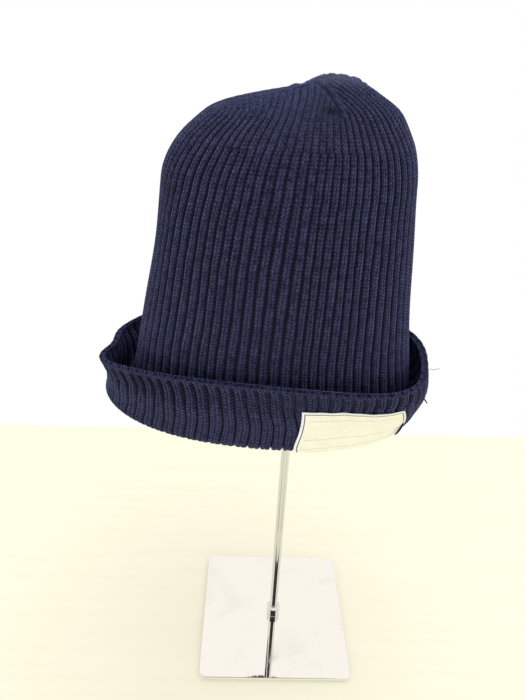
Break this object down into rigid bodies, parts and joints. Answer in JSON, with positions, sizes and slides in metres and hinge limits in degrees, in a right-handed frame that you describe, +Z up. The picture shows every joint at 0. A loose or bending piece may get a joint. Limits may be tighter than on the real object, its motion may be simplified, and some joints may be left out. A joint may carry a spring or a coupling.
{
  "type": "rib-knit beanie on a display stand",
  "caption": "Hollow rib-knit cap with one turned-up flaring cuff and a bare cloth label, held up by a thin chromed pole on a square polished base plate.",
  "frame": {"origin": "centre of the base plate's underside, where the stand touches the table", "axes": "+Z up along the pole, the cap's front and its label towards -Y, the cuff's high right-hand end towards +X"},
  "size_m": [0.22, 0.1506, 0.4274],
  "materials": {
    "knit": "matt navy wool rib knit, two fine wales to a rib",
    "label_cloth": "cream woven tape with a white selvedge and a thin dark border line",
    "polished_plate": "mirror polish with faint smudges",
    "chrome": "bright plating",
    "rest_metal": "satin"
  },
  "bodies": {
    "root": {"knit_cap": "knit", "label": "label_cloth", "base_plate": "polished_plate", "foot_nut": "chrome", "pole": "chrome", "cap_rest": "rest_metal"}
  },
  "joints": []
}
